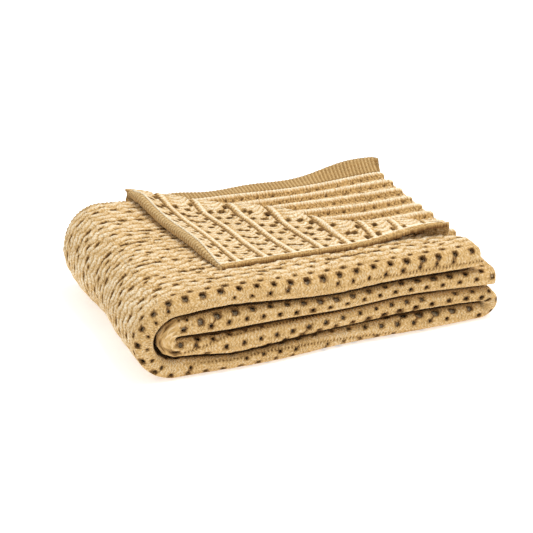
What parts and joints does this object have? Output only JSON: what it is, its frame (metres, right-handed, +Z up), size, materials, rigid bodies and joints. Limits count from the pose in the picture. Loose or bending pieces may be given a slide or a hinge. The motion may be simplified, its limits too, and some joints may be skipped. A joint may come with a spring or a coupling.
{
  "type": "folded throw blanket",
  "caption": "Open-work knitted throw folded into a flat stack of leaves, its top corner turned back to show the ridged face.",
  "frame": {"origin": "middle of the folded stack's footprint, on the surface it lies on", "axes": "+X along the front edge, +Y to the back, +Z up"},
  "size_m": [0.399, 0.254, 0.0981],
  "materials": {
    "knit_panel": "soft matt knitted yarn, golden sand",
    "ribbed_hem": "soft matt one-by-one ribbed knit, a shade deeper"
  },
  "bodies": {
    "stack": {"bottom_leaf": "knit_panel", "bottom_leaf_first_hem": "ribbed_hem", "bottom_leaf_second_hem": "ribbed_hem", "third_leaf": "knit_panel", "third_leaf_first_hem": "ribbed_hem", "third_leaf_second_hem": "ribbed_hem", "second_leaf": "knit_panel", "second_leaf_first_hem": "ribbed_hem", "second_leaf_second_hem": "ribbed_hem", "left_roll": "knit_panel", "left_roll_first_hem": "ribbed_hem", "left_roll_second_hem": "ribbed_hem", "right_fold": "knit_panel", "right_fold_first_hem": "ribbed_hem", "right_fold_second_hem": "ribbed_hem", "inner_fold": "knit_panel", "inner_fold_first_hem": "ribbed_hem", "inner_fold_second_hem": "ribbed_hem"},
    "top_leaf": {"top_leaf_lower_plies": "knit_panel", "top_leaf_upper_ply": "knit_panel", "top_leaf_first_hem": "ribbed_hem", "top_leaf_second_hem": "ribbed_hem", "corner_crease": "knit_panel"},
    "turned_corner": {"corner_ply": "knit_panel", "corner_hem": "ribbed_hem"}
  },
  "joints": [
    {"name": "top_leaf_lift", "type": "hinge", "parent": "stack", "child": "top_leaf", "pos_m": [-0.15605, 0, 0.0868], "axis": [0, -1, 0], "range_deg": [0, 160]},
    {"name": "corner_turn", "type": "hinge", "parent": "top_leaf", "child": "turned_corner", "pos_m": [0.02523, 0.0185, 0.0926], "axis": [-0.8069, 0.5907, 0], "range_deg": [0, 172]}
  ]
}
